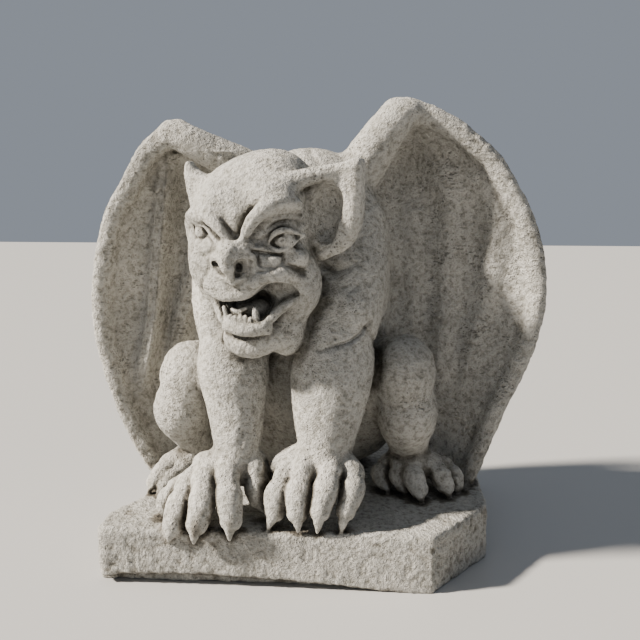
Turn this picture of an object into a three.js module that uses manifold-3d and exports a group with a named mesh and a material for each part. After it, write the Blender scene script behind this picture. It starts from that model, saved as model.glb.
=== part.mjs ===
// A winged stone gargoyle that crouches on its plinth, cast in one piece.
// Millimetres, +Z up. The viewer stands at -Y, and the origin is under the middle of the plinth.
import * as THREE from 'three'
import { mergeVertices } from 'three/addons/utils/BufferGeometryUtils.js'
import Module from 'manifold-3d'

// Plinth
const PLINTH_WIDTH = 378
const PLINTH_DEPTH = 280
const PLINTH_HEIGHT = 57
const PLINTH_EDGE = 5
const PLAIN_CORNER = 5
const FRONT_CUT_WIDTH = 59
const FRONT_CUT_DEPTH = 80
const SIDE_LENGTH = 38
const BACK_CUT_WIDTH = 24
const BACK_CUT_DEPTH = 44
const BREAK_LENGTH = 280
const BREAK_HEIGHT = 13
const BREAK_DEPTH = 10

// Figure, from the top of the plinth to the top of the taller wing
const FIGURE_HEIGHT = 403

const wasm = await Module()
wasm.setup()

const v = (x, y, z) => new THREE.Vector3(x, y, z)
const between = (a, b, share) => a.map((value, i) => THREE.MathUtils.lerp(value, b[i], share))

// A round hill, 1 high at no offset and about a third at the width
const hill = (offset, width) => Math.exp(-((offset / width) ** 2))

// A closed solid from a geometry whose faces all point out or all point in
function solid(geometry) {
  const bare = geometry.clone()
  bare.deleteAttribute('normal')
  bare.deleteAttribute('uv')
  const merged = mergeVertices(bare, 1e-4)
  const spot = merged.attributes.position
  const corner = [0, 1, 2].map(() => new THREE.Vector3())
  const faces = []
  let volume = 0
  for (let i = 0; i < merged.index.count; i += 3) {
    const face = [0, 1, 2].map((k) => merged.index.getX(i + k))
    if (new Set(face).size < 3) continue
    face.forEach((at, k) => corner[k].fromBufferAttribute(spot, at))
    volume += corner[0].dot(corner[1].clone().cross(corner[2]))
    faces.push(face)
  }
  const triVerts = faces.map((face) => (volume > 0 ? face : [...face].reverse())).flat()
  return new wasm.Manifold(
    new wasm.Mesh({
      numProp: 3,
      vertProperties: new Float32Array(spot.array),
      triVerts: new Uint32Array(triVerts),
    })
  )
}

// An ellipsoid with its own half sizes, turned about X, Y and Z in degrees
function lump(at, half, turn = [0, 0, 0], sides = 12) {
  const shape = new THREE.SphereGeometry(1, sides, Math.round(sides * 0.65))
  shape.rotateX(Math.PI / 2)
  shape.scale(...half)
  const [x, y, z] = turn.map(THREE.MathUtils.degToRad)
  shape.applyMatrix4(new THREE.Matrix4().makeRotationFromEuler(new THREE.Euler(x, y, z)))
  return shape.translate(...at)
}

// A round limb through the points, with a radius at each and round ends
function limb(points, radii, sides = 10, stepsEach = 2) {
  const places = points.map((point) => v(...point))
  const curve = new THREE.CatmullRomCurve3(places, false, 'centripetal')
  const steps = stepsEach * (points.length - 1)
  const shape = new THREE.CapsuleGeometry(1, steps, 2, sides, steps)
  const chord = places.at(-1).clone().sub(places[0])
  const axes = [v(1, 0, 0), v(0, 1, 0), v(0, 0, 1)]
  axes.sort((a, b) => Math.abs(a.dot(chord)) - Math.abs(b.dot(chord)))
  const spot = shape.attributes.position
  for (let i = 0; i < spot.count; i++) {
    const along = THREE.MathUtils.clamp(spot.getY(i) / steps + 0.5, 0, 1)
    const beyond = spot.getY(i) - (along - 0.5) * steps
    const reach = along * (radii.length - 1)
    const before = Math.min(Math.floor(reach), radii.length - 2)
    const blend = THREE.MathUtils.smoothstep(reach - before, 0, 1)
    const radius = THREE.MathUtils.lerp(radii[before], radii[before + 1], blend)
    const tangent = curve.getTangent(along)
    const side = axes[0].clone().cross(tangent).normalize()
    const up = side.clone().cross(tangent)
    const place = curve.getPoint(along)
    place.addScaledVector(side, spot.getX(i) * radius)
    place.addScaledVector(up, spot.getZ(i) * radius)
    place.addScaledVector(tangent, beyond * radius)
    spot.setXYZ(i, place.x, place.y, place.z)
  }
  return shape
}

// A curved sheet between two rails, each a list of [x, z] from its top to its foot. The depth
// gives y on its middle layer and the thickness its wall, both from the share across and down.
function sheet(inner, outer, depth, thickness, across = 14, down = 20) {
  const rails = [inner, outer].map((rail) => {
    return new THREE.SplineCurve(rail.map(([x, z]) => new THREE.Vector2(x, z)))
  })
  const shape = new THREE.BoxGeometry(1, 1, 1, across, down, 1)
  const spot = shape.attributes.position
  for (let i = 0; i < spot.count; i++) {
    const u = spot.getX(i) + 0.5
    const w = 0.5 - spot.getY(i)
    const [near, far] = rails.map((rail) => rail.getPoint(w))
    const place = near.lerp(far, u)
    spot.setXYZ(i, place.x, depth(u, w) - spot.getZ(i) * thickness(u, w), place.y)
  }
  return shape
}

// A finger or toe with a raised knuckle that narrows to a hooked claw past its tip
function digit(root, knuckle, tip, radius) {
  const CLAW_LENGTH = 0.8
  const CLAW_DROP = 0.4
  const SHAPE = [1, 1.1, 1, 0.75, 0.2]
  const middle = between(knuckle, tip, 0.5)
  middle[2] += radius * 0.35
  const out = v(...tip).sub(v(...middle)).normalize()
  const claw = tip.map((value, i) => value + out.getComponent(i) * radius * CLAW_LENGTH)
  claw[2] -= radius * CLAW_DROP
  const radii = SHAPE.map((share) => share * radius)
  return limb([root, knuckle, middle, tip, claw], radii, 6, 1)
}

// The figure's places are drawn in mm from the middle of the plinth's underside, on a figure of
// the height that stance() gives. They are its pose and proportions.
function torso() {
  const spine = [[0, 60, 112], [3, 46, 195], [4, 24, 288], [4, 14, 343]]
  const neck = [[-6, -2, 335], [-30, -50, 322]]
  return [
    limb(spine, [74, 84, 84, 69], 18, 1),
    lump([0, 4, 185], [58, 50, 80]),
    limb(neck, [62, 50], 12, 1),
  ]
}

// One leg: the thigh out to the knee, the shin down to the ankle, then the foot with its toes
function leg(hip, knee, ankle, toes) {
  const TOE = 10
  const thigh = between(hip, knee, 0.5)
  thigh[2] += 14
  const shin = between(knee, ankle, 0.5)
  shin[1] -= 4
  const instep = [ankle[0] + Math.sign(ankle[0]) * 6, ankle[1] - 14, 82]
  return [
    limb([hip, thigh, knee], [52, 43, 33], 11, 2),
    limb([knee, shin, ankle], [34, 32, 22], 10, 1),
    limb([ankle, instep], [22, 18], 8, 1),
    ...toes.map(([knuckle, tip]) => digit(instep, knuckle, tip, TOE)),
  ]
}

// Each toe is its knuckle and its tip
function legs() {
  const rightToes = [
    [[86, -25, 77], [91, -38, 60]],
    [[101, -32, 76], [107, -41, 61]],
    [[115, -42, 78], [121, -58, 61]],
    [[141, -34, 77], [150, -44, 61]],
    [[156, -22, 72], [160, -30, 60]],
  ]
  const leftToes = [
    [[-128, -30, 74], [-144, -48, 61]],
    [[-140, -30, 77], [-155, -46, 61]],
    [[-138, -14, 82], [-149, -34, 66]],
  ]
  return [
    ...leg([48, 50, 118], [105, -42, 188], [109, -12, 98], rightToes),
    ...leg([-46, 50, 118], [-121, -42, 176], [-117, -14, 96], leftToes),
  ]
}

// One arm: the shoulder, elbow and wrist, then the hand spread over the plinth's front edge
function arm(points, radii, palm, palmHalf, fingers) {
  const FINGER = 11.5
  const SPLIT = 0.45
  const wrist = points.at(-1)
  const hand = fingers.map(([knuckle, tip]) => digit(between(wrist, knuckle, SPLIT), knuckle, tip, FINGER))
  return [limb(points, radii, 11, 1), lump(palm, palmHalf, [24, 0, 0], 10), ...hand]
}

// Each finger is its knuckle and its tip
function arms() {
  const right = [[48, -2, 330], [49, -38, 276], [34, -64, 222], [29, -78, 172], [26, -94, 124]]
  const left = [[-60, -2, 330], [-74, -36, 278], [-67, -66, 222], [-64, -76, 168], [-60, -92, 122]]
  const rightFingers = [
    [[-12, -114, 98], [-21, -131, 62]],
    [[5, -118, 103], [4, -138, 64]],
    [[31, -118, 104], [22, -138, 64]],
    [[53, -112, 101], [46, -133, 64]],
  ]
  const leftFingers = [
    [[-116, -104, 86], [-130, -112, 62]],
    [[-105, -114, 91], [-116, -138, 56]],
    [[-88, -118, 98], [-92, -144, 58]],
    [[-65, -118, 102], [-60, -142, 62]],
    [[-41, -106, 104], [-36, -110, 70]],
  ]
  return [
    ...arm(right, [39, 40, 38, 37, 25], [20, -106, 104], [36, 22, 15], rightFingers),
    ...arm(left, [42, 42, 36, 32, 23], [-72, -104, 102], [38, 22, 15], leftFingers),
  ]
}

// One wing: a cupped skin with two raised bones, a thick leading arm and a rolled outer rim.
// The bones stand at shares of the way across, from the body to the rim.
function wing(inner, outer, bones, arm) {
  const [CUP, HOOD, BONE] = [32, 14, 9]
  const [LAYER, LEAN] = [14, 18]
  const [RIM_INSET, RIM_LAYER, RIM_RADIUS, RIM_NARROWING] = [6, 12, 10, 4]
  const depth = (u, w) => {
    const cup = CUP * (1 - Math.abs(2 * u - 1) ** 1.7) * (1 - 0.5 * w)
    const hood = HOOD * hill(u - 0.3, 0.22) * hill(w - 0.2, 0.12)
    const folds = bones.reduce((sum, bone) => sum + BONE * hill(u - bone, 0.07), 0)
    const open = THREE.MathUtils.smoothstep(w, 0, 0.16)
    return LAYER + (LEAN * (1 - u) + cup + hood - folds) * open
  }
  const thickness = (u, w) => 17 - 5 * u - 3 * w
  const rim = outer.map(([x, z], i) => [x - Math.sign(x) * RIM_INSET, RIM_LAYER, z - (i === 0 ? 6 : 0)])
  const rimRadii = rim.map((place, i) => RIM_RADIUS - (RIM_NARROWING * i) / (rim.length - 1))
  return [
    sheet(inner, outer, depth, thickness, 10, 10),
    limb(rim, rimRadii, 6, 1),
    limb(arm, [26, 20, 15, 11], 9, 1),
  ]
}

// Each wing's edges are [x, z] from its top to its foot
function wings() {
  const right = {
    inner: [[50, 400], [60, 350], [62, 290], [66, 230], [80, 180], [92, 140], [104, 100], [116, 54]],
    outer: [
      [100, 459], [136, 448], [177, 420], [214, 376], [243, 308],
      [248, 250], [233, 190], [205, 124], [184, 72], [172, 52],
    ],
    arm: [[46, 22, 372], [62, 20, 396], [82, 16, 424], [96, 14, 448]],
  }
  const left = {
    inner: [[-60, 398], [-68, 350], [-70, 290], [-78, 230], [-92, 180], [-104, 140], [-112, 100], [-122, 54]],
    outer: [
      [-143, 438], [-174, 411], [-199, 368], [-220, 315], [-230, 250],
      [-221, 181], [-200, 118], [-178, 76], [-163, 55],
    ],
    arm: [[-50, 22, 380], [-76, 20, 398], [-108, 16, 414], [-138, 14, 428]],
  }
  return [
    ...wing(right.inner, right.outer, [0.36, 0.68], right.arm),
    ...wing(left.inner, left.outer, [0.34, 0.62], left.arm),
  ]
}

// The head is drawn about its own middle, face to -Y, then turned to one side, nodded and tilted
function headPlace() {
  const [turn, nod, tilt] = [-14, 4, -1.5].map(THREE.MathUtils.degToRad)
  const place = new THREE.Matrix4().makeTranslation(-38, -72, 322)
  place.multiply(new THREE.Matrix4().makeRotationZ(turn))
  place.multiply(new THREE.Matrix4().makeRotationY(tilt))
  return place.multiply(new THREE.Matrix4().makeRotationX(nod))
}

// Distances to a round form and to a bow of round sections, for forms that run into each other.
// They are less than nothing inside, and are all in the head's own frame.
function round(at, half, turn = [0, 0, 0]) {
  const [x, y, z] = turn.map(THREE.MathUtils.degToRad)
  const back = new THREE.Matrix4().makeRotationFromEuler(new THREE.Euler(x, y, z, 'ZYX')).transpose()
  const [middle, size, p] = [v(...at), v(...half), v(0, 0, 0)]
  return (place) => {
    p.subVectors(place, middle).applyMatrix4(back).divide(size)
    const reach = Math.max(p.length(), 1e-6)
    return (reach * (reach - 1)) / Math.max(p.divide(size).length(), 1e-6)
  }
}

function bow(points, radii) {
  const curve = new THREE.CatmullRomCurve3(points.map((point) => v(...point)), false, 'centripetal')
  const steps = 3 * (points.length - 1)
  const spine = curve.getPoints(steps)
  const bones = spine.slice(1).map((end, i) => new THREE.Line3(spine[i], end))
  const thick = spine.map((_, i) => {
    const reach = (i / steps) * (radii.length - 1)
    const before = Math.min(Math.floor(reach), radii.length - 2)
    return THREE.MathUtils.lerp(radii[before], radii[before + 1], reach - before)
  })
  const nearest = v(0, 0, 0)
  return (place) => {
    const over = bones.map((bone, i) => {
      const share = bone.closestPointToPointParameter(place, true)
      const radius = THREE.MathUtils.lerp(thick[i], thick[i + 1], share)
      return bone.at(share, nearest).distanceTo(place) - radius
    })
    return Math.min(...over)
  }
}

const blended = (a, b, blend) => {
  const near = Math.max(blend - Math.abs(a - b), 0) / blend
  return Math.min(a, b) - (near * near * blend) / 4
}

// Each form of the bare head with the width over which it runs into the ones before it
function headForms() {
  const skull = [
    [round([-4, 8, 22], [61, 60, 61]), 8],
    [round([14, 12, 50], [38, 42, 37]), 12],
    [round([-42, -12, 12], [25, 26, 30]), 12],
    [round([-2, -18, -16], [52, 44, 56]), 14],
    [round([-36, -30, -14], [23, 20, 26]), 12],
    [round([24, -26, 44], [27, 26, 22]), 10],
    [round([-22, -30, 40], [26, 26, 20]), 10],
  ]
  const jaw = [
    [round([43, -12, -36], [20, 27, 31]), 12],
    [round([28, -22, -80], [17, 20, 28]), 12],
    [round([-38, -8, -44], [18, 22, 26]), 12],
    [round([-7, -49, -27], [32, 19, 18]), 8],
    [round([22, -42, -22], [22, 18, 16]), 10],
    [round([0, -41, -80], [29, 18, 19]), 10],
    [round([2, -44, -89], [18, 15, 11]), 6],
  ]
  const brows = [
    [bow([[9, -57, 14], [16, -54, 28], [30, -46, 39], [50, -28, 40]], [5, 8, 9, 7]), 9],
    [bow([[-6, -59, 14], [-15, -58, 27], [-36, -48, 36], [-61, -16, 24]], [5, 8, 9, 6]), 6],
  ]
  const cheeks = [
    [round([28, -45, -5], [12, 10, 6]), 4],
    [round([45, -30, -12], [12, 13, 9]), 6],
    [round([-34, -38, -6], [16, 15, 12]), 8],
  ]
  return [...skull, ...jaw, ...brows, ...cheeks, ...noseForms(), ...lipForms()]
}

// A short bridge that runs on under the right eye, and a blunt end with two flared wings
function noseForms() {
  return [
    [round([1, -54, 5], [18, 15, 10]), 5],
    [bow([[2, -63, 10], [18, -57, 7], [34, -46, 0], [55, -29, 9]], [4, 4, 3.5, 3]), 3],
    [round([-3, -62, -5], [16, 14, 14]), 5],
    [bow([[3, -67, 2], [14, -62, 2], [19, -58, -9], [8, -64, -21]], [4, 5, 5, 4]), 3],
    [bow([[-5, -67, 0], [-18, -61, -1], [-20, -60, -13], [-9, -66, -21]], [4, 5, 5, 4]), 3],
  ]
}

// The lips part in a snarl that is drawn up on the viewer's right and round the mouth's corner
function lipForms() {
  const upper = [
    [-36, -44, -32], [-15, -60, -38], [8, -62, -34],
    [28, -55, -20], [44, -42, -20], [52, -27, -42],
  ]
  const lower = [[-26, -50, -50], [-14, -59, -62], [6, -62, -69], [22, -57, -65], [44, -38, -47]]
  return [
    [bow(upper, [4.5, 6, 6, 6, 6, 5]), 4],
    [bow(lower, [4, 6, 6.5, 6.5, 5]), 4],
  ]
}

function sockets() {
  return [
    [round([38, -50, 10], [15, 11, 9], [0, -8, 18]), 6],
    [round([23, -55, 11], [7, 8, 6]), 4],
    [round([-39, -51, 17], [11, 9, 9], [0, 0, -20]), 3],
    // The frown over the bridge of the nose, and the dent under the lower lip
    [bow([[-7, -66, 32], [0, -68, 22], [9, -65, 34]], [4, 7, 4]), 6],
    [bow([[-17, -64, -77], [0, -66, -78], [24, -58, -77]], [4, 5, 3]), 5],
  ]
}

// The bare head as one skin, a ball whose points are drawn out from its middle to the forms.
// The ball's pole is at the nose, and its rings are closer there.
function face() {
  const MIDDLE = v(0, 6, -2)
  const FAR = 130
  const CLOSE = 0.02
  const MOST_STEPS = 60
  const CROWDING = 1.6
  const forms = headForms()
  const hollows = sockets()
  const distance = (place) => {
    const full = forms.reduce((sum, [form, blend]) => blended(sum, form(place), blend), FAR)
    return hollows.reduce((sum, [form, blend]) => -blended(-sum, form(place), blend), full)
  }
  const shape = new THREE.SphereGeometry(1, 44, 30)
  const spot = shape.attributes.position
  for (let i = 0; i < spot.count; i++) {
    const around = Math.atan2(spot.getZ(i), spot.getX(i))
    const share = Math.acos(THREE.MathUtils.clamp(-spot.getY(i), -1, 1)) / Math.PI
    const tip = Math.PI * share ** CROWDING
    const out = v(Math.cos(around) * Math.sin(tip), -Math.cos(tip), Math.sin(around) * Math.sin(tip))
    const at = (reach) => MIDDLE.clone().addScaledVector(out, reach)
    let reach = FAR
    let left = distance(at(reach))
    for (let step = 0; step < MOST_STEPS && Math.abs(left) > CLOSE; step++) {
      reach -= 0.9 * left
      left = distance(at(reach))
    }
    spot.setXYZ(i, ...at(reach))
  }
  return shape
}

function eyes() {
  const half = [11, 9, 8]
  return [lump([38, -40, 11], half, [0, 0, 20], 8), lump([-39, -42, 17], half, [0, 0, -20], 8)]
}

// The mouth's opening, drawn as [x, z] round its edge, is cut back into the head
function mouth() {
  const BACK = -34
  const FRONT = -90
  const edge = [
    [-24, -42], [-6, -44], [8, -42], [18, -34], [27, -26], [40, -27], [48, -37],
    [42, -43], [28, -53], [17, -62], [3, -63], [-10, -56],
  ]
  const outline = new THREE.Shape()
  outline.moveTo(...edge[0])
  outline.splineThru([...edge.slice(1), edge[0]].map((place) => new THREE.Vector2(...place)))
  const opening = new THREE.ExtrudeGeometry(outline, {
    depth: BACK - FRONT,
    bevelEnabled: false,
    curveSegments: 2,
  })
  return opening.rotateX(Math.PI / 2).translate(0, BACK, 0)
}

function nostrils() {
  const half = [5, 9, 5]
  return [lump([7, -74, -11], half, [0, 0, 0], 6), lump([-14, -74, -12], half, [0, 0, 0], 6)]
}

// A big bowl of an ear, open to the front, and the narrower one on the turned side. Each is a
// sheet whose middle dips back by that much.
function ears() {
  const dip = (back, deep) => (u, w) => {
    return back + deep * Math.sin(Math.PI * u) * Math.sin(Math.PI * (0.15 + 0.75 * w))
  }
  const [RIGHT_WALL, LEFT_WALL] = [12, 16]
  const right = sheet(
    [[38, 61], [42, 35], [46, 12], [50, -14]],
    [[99, 75], [99, 44], [93, 13], [70, -12]],
    dip(2, 20), () => RIGHT_WALL, 5, 5
  )
  const left = sheet(
    [[-30, 62], [-44, 34], [-54, 6]],
    [[-75, 77], [-78, 42], [-74, 8]],
    dip(6, 6), () => LEFT_WALL, 4, 4
  )
  return [right, left]
}

// Stands the drawn figure on the plinth, with its hands on the front edge
function stance() {
  const drawn = { height: 403, floor: 57, front: -140 }
  const grow = FIGURE_HEIGHT / drawn.height
  const place = new THREE.Matrix4().makeTranslation(0, -PLINTH_DEPTH / 2, PLINTH_HEIGHT)
  place.multiply(new THREE.Matrix4().makeScale(grow, grow, grow))
  return place.multiply(new THREE.Matrix4().makeTranslation(0, -drawn.front, -drawn.floor))
}

function figure() {
  const standing = stance()
  const turned = standing.clone().multiply(headPlace())
  const placed = (matrix) => (shape) => solid(shape.applyMatrix4(matrix))
  const join = (all, one) => all.add(one)
  const cut = (all, one) => all.subtract(one)
  const body = [...torso(), ...legs(), ...arms(), ...wings()].map(placed(standing)).reduce(join)
  const carved = [face(), mouth(), ...nostrils()].map(placed(turned)).reduce(cut)
  return body.add([...eyes(), ...ears()].map(placed(turned)).reduce(join, carved))
}

// A slab whose outline has a long cut at the front on one side and another at the back on the
// other, with worn edges
function plinth() {
  const [x, y] = [PLINTH_WIDTH / 2 - PLINTH_EDGE, PLINTH_DEPTH / 2 - PLINTH_EDGE]
  const back = -x + BACK_CUT_WIDTH
  const corners = [
    [-x + PLAIN_CORNER, -y],
    [x - FRONT_CUT_WIDTH, -y],
    [x, -y + FRONT_CUT_DEPTH],
    [x, y - PLAIN_CORNER],
    [x - PLAIN_CORNER, y],
    [back + PLAIN_CORNER, y],
    [back, y - PLAIN_CORNER],
    [back, -y + SIDE_LENGTH + BACK_CUT_DEPTH],
    [-x, -y + SIDE_LENGTH],
    [-x, -y + PLAIN_CORNER],
  ]
  const outline = new THREE.Shape(corners.map((corner) => new THREE.Vector2(...corner)))
  const slab = new THREE.ExtrudeGeometry(outline, {
    depth: PLINTH_HEIGHT,
    bevelThickness: PLINTH_EDGE,
    bevelSize: PLINTH_EDGE,
    bevelSegments: 2,
  })
  slab.translate(0, 0, -PLINTH_EDGE)
  const below = new THREE.BoxGeometry(2 * PLINTH_WIDTH, 2 * PLINTH_DEPTH, PLINTH_HEIGHT)
  below.translate(0, 0, -PLINTH_HEIGHT / 2)
  return solid(slab).subtract(solid(below))
}

// The front edge is broken away low down, from the plain corner to where it runs out
function frontBreak() {
  const left = -PLINTH_WIDTH / 2
  // Shares of the break's length, and of its height there
  const profile = [[0.12, 0.8], [0.32, 1], [0.6, 0.7], [1, 0]]
  const outline = new THREE.Shape()
  outline.moveTo(left - PLINTH_EDGE, -BREAK_HEIGHT)
  outline.lineTo(left - PLINTH_EDGE, BREAK_HEIGHT * 0.3)
  outline.splineThru(profile.map(([along, up]) => {
    return new THREE.Vector2(left + BREAK_LENGTH * along, BREAK_HEIGHT * up)
  }))
  outline.lineTo(left + BREAK_LENGTH, -BREAK_HEIGHT)
  outline.closePath()
  const hollow = new THREE.ExtrudeGeometry(outline, {
    depth: 2 * BREAK_DEPTH,
    bevelEnabled: false,
    curveSegments: 5,
  })
  hollow.rotateX(Math.PI / 2)
  return solid(hollow.translate(0, BREAK_DEPTH - PLINTH_DEPTH / 2, 0))
}

function meshOf(body, name, material) {
  const { vertProperties, triVerts } = body.getMesh()
  const geometry = new THREE.BufferGeometry()
  geometry.setAttribute('position', new THREE.BufferAttribute(vertProperties, 3))
  geometry.setIndex(new THREE.BufferAttribute(triVerts, 1))
  const mesh = new THREE.Mesh(geometry, material)
  mesh.name = name
  return mesh
}

const castStone = new THREE.MeshStandardMaterial({ color: '#b4aea3', roughness: 0.95, metalness: 0 })

const group = new THREE.Group()
group.add(meshOf(plinth().subtract(frontBreak()).add(figure()), 'gargoyle', castStone))
export default group
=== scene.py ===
import math

import bpy
import numpy as np
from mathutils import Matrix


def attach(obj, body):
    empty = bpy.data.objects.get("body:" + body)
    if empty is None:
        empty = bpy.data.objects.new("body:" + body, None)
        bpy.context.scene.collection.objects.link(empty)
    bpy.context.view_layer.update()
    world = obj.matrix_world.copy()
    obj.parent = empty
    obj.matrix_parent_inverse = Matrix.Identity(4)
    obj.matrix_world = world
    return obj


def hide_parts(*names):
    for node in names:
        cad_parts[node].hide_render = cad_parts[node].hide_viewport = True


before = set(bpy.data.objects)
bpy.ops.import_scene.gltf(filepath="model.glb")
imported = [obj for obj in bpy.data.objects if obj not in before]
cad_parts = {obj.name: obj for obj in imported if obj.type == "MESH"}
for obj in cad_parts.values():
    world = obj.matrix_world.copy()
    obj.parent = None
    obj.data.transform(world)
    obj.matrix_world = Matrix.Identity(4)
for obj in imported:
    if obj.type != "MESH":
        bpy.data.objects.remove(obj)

import openvdb
from mathutils import Matrix, Vector

bl_info = {
    "name": "Stone gargoyle",
    "version": (1, 0),
    "blender": (4, 5, 0),
    "location": "View3D > Sidebar > Gargoyle",
    "description": "Models a winged gargoyle on its plinth, cast in stone",
    "category": "Object",
}

MM = 0.001

# Plinth, in mm like every place below. +Z is up, the viewer stands at -Y, and right and left
# are the viewer's.
PLINTH_WIDTH, PLINTH_DEPTH, PLINTH_HEIGHT = 378.0, 280.0, 57.0
CUT_CORNER = (59.0, 80.0)
PLAIN_CORNER = 5.0
SIDE_LENGTH, BACK_CUT = 38.0, (24.0, 44.0)
PLINTH_EDGE = 5.0
BREAK_LENGTH, BREAK_HEIGHT, BREAK_DEPTH = 280.0, 13.0, 10.0

# The block of distances: its coarse and fine steps in mm, the distance that stands for far
# away, the band that the surface is taken from, and how far past a shape the block is worked,
# beyond the shape's blend and at the least
QUICK_STEPS, FULL_STEPS = (2.6, 1.7), (1.5, 0.9)
FAR, BAND = 40.0, 4.0
SPARE, LEAST_REACH = 3, 10
# A pressed line spreads so many widths to its sides, and starts so many mm in front
PRESS_SPREAD, PRESS_AHEAD = 2.4, 24

# A finger's or toe's radii as shares of its own: root, knuckle, middle, bend and pad
DIGIT_SHARES = (0.95, 1.03, 0.94, 1.06, 0.86)
# How far back each wing's skin is cupped, is drawn under its bend and leans to its inner edge,
# half the skin's thickness, and the radius of the skin's edge
WING_CUP, WING_HOOD, WING_LEAN, WING_HALF, WING_ROUND = 34, 18, 22, 7.5, 6.5

# Lumps of the casting as shares of the grain's height and sizes, the rougher wings' start to
# either side of the middle, and the reaches at which a place is looked at for a hollow
LUMPS = ((0.55, 13.0), (0.5, 6.5), (0.55, 3.4))
WINGS_START, WINGS_FADE = 95, 60
HOLLOW_REACHES = (2.5, 5.0, 9.0)
NOISE_CELLS, NOISE_SHIFT = 32, 977

# Sizes in the stone's look in metres: mottling, patches of dirt, lumps and fine grains, the
# spacing of small and large pits, and the depth of it all
MOTTLE, PATCH, GRAIN_LUMP, FINE_GRAIN = 0.035, 0.014, 0.0028, 0.0010
SMALL_PITS, LARGE_PITS, RELIEF_DEPTH = 0.0036, 0.0095, 0.0048

# Camera and sun in metres and degrees, fitted to the photograph
CAMERA_AT, CAMERA_TURN, CAMERA_PITCH = (0.0742, -0.8894, 0.407), 3.8, 11
LENS, SENSOR = 48.4, 36
SUN_AT, SUN_AIM, SUN_ANGLE = (-2.4, -0.62, 1.95), (0, 0, 0.2), 5
FLOOR_SIDE = 6

# The head is drawn about its own middle, face to -Y, and then turned and placed
HEAD_AT = (-38.0, -72.0, 322.0)
HEAD_TURN, HEAD_TILT, HEAD_NOD = -14.0, -1.5, 4.0


def turned(turn, tilt, nod):
    """Rotation that nods about X, tilts about Y and turns about Z, in degrees."""
    matrix = Matrix.Rotation(math.radians(turn), 3, "Z")
    matrix = matrix @ Matrix.Rotation(math.radians(tilt), 3, "Y")
    return np.array(matrix @ Matrix.Rotation(math.radians(nod), 3, "X"))


HEAD_TURNED = turned(HEAD_TURN, HEAD_TILT, HEAD_NOD)


def of_head(points):
    """Places in the head's own frame, moved to the figure's."""
    return np.asarray(points, float) @ HEAD_TURNED.T + np.array(HEAD_AT)


def in_head(grid):
    """Places of a window in the head's own frame: across, behind and up."""
    dx, dy, dz = (axis - place for axis, place in zip(grid, HEAD_AT))
    return [
        dx * HEAD_TURNED[0, i] + dy * HEAD_TURNED[1, i] + dz * HEAD_TURNED[2, i]
        for i in range(3)
    ]


def soft_min(a, b, blend):
    """The lesser of two distances, run into each other over the blend."""
    share = np.clip(0.5 + (b - a) / (2 * blend), 0, 1)
    return b + (a - b) * share - blend * share * (1 - share)


def curve(points, steps=6):
    """A smooth line through the points, as Catmull-Rom stretches. Extra columns, such as a
    radius, are carried along."""
    p = np.asarray(points, float)
    if len(p) < 3:
        return np.linspace(p[0], p[-1], steps + 1)
    ends = np.vstack([2 * p[0] - p[1], p, 2 * p[-1] - p[-2]])
    t = np.linspace(0, 1, steps, endpoint=False)[:, None]
    made = []
    for a, b, c, d in zip(ends, ends[1:], ends[2:], ends[3:]):
        made.append(
            0.5
            * (
                2 * b
                + (c - a) * t
                + (2 * a - 5 * b + 4 * c - d) * t**2
                + (3 * b - a - 3 * c + d) * t**3
            )
        )
    return np.vstack(made + [p[-1:]])


def part_of(grid, low, high):
    """The slices of a window's three axes that lie between two corners, and their places."""
    spans, inner = [], []
    for i, axis in enumerate(grid):
        flat = axis.ravel()
        start = int(np.clip(np.searchsorted(flat, low[i]), 0, len(flat)))
        end = int(np.clip(np.searchsorted(flat, high[i]), start, len(flat)))
        spans.append(slice(start, end))
        shape = [1, 1, 1]
        shape[i] = end - start
        inner.append(flat[start:end].reshape(shape))
    return tuple(spans), inner


def lump(at, half, turn=(0, 0, 0), head=False):
    """An ellipsoid. The turn is about Z, Y and X in degrees."""
    at, rotation = np.asarray(at, float), turned(*turn)
    if head:
        at, rotation = of_head([at])[0], HEAD_TURNED @ rotation
    reach = np.abs(rotation) @ np.asarray(half, float)

    def distance(grid, margin):
        offsets = [axis - place for axis, place in zip(grid, at)]
        outer = inner = 0
        for i in range(3):
            along = sum(offsets[k] * np.float32(rotation[k, i]) for k in range(3))
            outer = outer + (along / half[i]) ** 2
            inner = inner + (along / half[i] ** 2) ** 2
        outer, inner = np.sqrt(outer), np.sqrt(inner)
        return (outer * (outer - 1) / np.maximum(inner, 1e-5)).astype(np.float32)

    return at - reach, at + reach, distance


def limb(points, radii, steps=5, head=False):
    """A round limb through the points, with a radius at each."""
    line = curve([[*p, r] for p, r in zip(points, radii)], steps)
    places, sizes = line[:, :3], np.maximum(line[:, 3], 0.3)
    if head:
        places = of_head(places)
    low = (places - sizes[:, None]).min(0)
    high = (places + sizes[:, None]).max(0)

    def distance(grid, margin):
        made = np.full([axis.size for axis in grid], FAR, np.float32)
        for a, b, ra, rb in zip(places, places[1:], sizes, sizes[1:]):
            size = max(ra, rb) + margin
            spans, (x, y, z) = part_of(grid, np.minimum(a, b) - size, np.maximum(a, b) + size)
            d = b - a
            span = max(float(d @ d), 1e-6)
            t = ((x - a[0]) * d[0] + (y - a[1]) * d[1] + (z - a[2]) * d[2]) / span
            t = np.clip(t, 0, 1)
            gone = (x - a[0] - t * d[0]) ** 2 + (y - a[1] - t * d[1]) ** 2
            gone = np.sqrt(gone + (z - a[2] - t * d[2]) ** 2) - (ra + t * (rb - ra))
            made[spans] = np.minimum(made[spans], gone)
        return made

    return low, high, distance


def forms(rows, head=False):
    """Shapes with their blends, of rows: a lump's middle, half its size and perhaps its turn, or
    a limb's places and the radius at each, and the blend."""
    made = []
    for at, size, *turn, blend in rows:
        shape = limb if isinstance(at[0], list) else lump
        made.append((shape(at, size, *turn, head=head), blend))
    return made


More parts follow.
